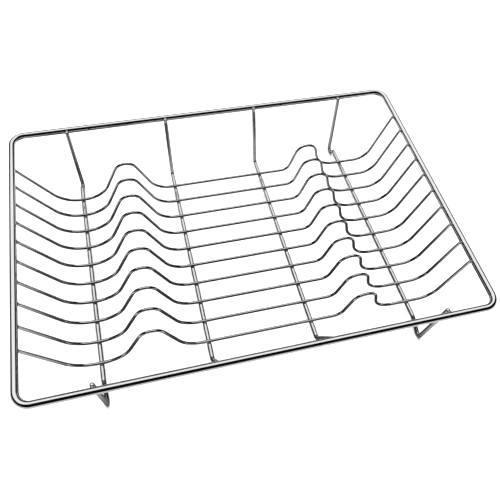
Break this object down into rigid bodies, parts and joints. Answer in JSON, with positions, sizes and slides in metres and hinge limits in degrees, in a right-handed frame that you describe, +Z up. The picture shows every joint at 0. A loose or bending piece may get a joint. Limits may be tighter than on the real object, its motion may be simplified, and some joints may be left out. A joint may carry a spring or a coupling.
{
  "type": "dish drying rack",
  "caption": "Low open basket of welded chrome wire that dishes are stood in to drain, with rows of raised humps that hold plates upright and small bent feet.",
  "frame": {"origin": "on the ground, under the middle of the rim", "axes": "+X to the rack's right along its length, +Y to its back, +Z up"},
  "size_m": [0.457, 0.3174, 0.0878],
  "materials": {
    "rim_chrome": "polished",
    "cross_wire_chrome": "polished",
    "long_wire_chrome": "polished"
  },
  "bodies": {
    "root": {"top_rim": "rim_chrome", "left_foot_cross_wire": "cross_wire_chrome", "left_cross_wire": "cross_wire_chrome", "right_cross_wire": "cross_wire_chrome", "right_foot_cross_wire": "cross_wire_chrome", "long_wire_1_back": "long_wire_chrome", "long_wire_2": "long_wire_chrome", "long_wire_3": "long_wire_chrome", "long_wire_4": "long_wire_chrome", "long_wire_5": "long_wire_chrome", "long_wire_6": "long_wire_chrome", "long_wire_7": "long_wire_chrome", "long_wire_8": "long_wire_chrome", "long_wire_9": "long_wire_chrome", "long_wire_10_front": "long_wire_chrome"}
  },
  "joints": []
}
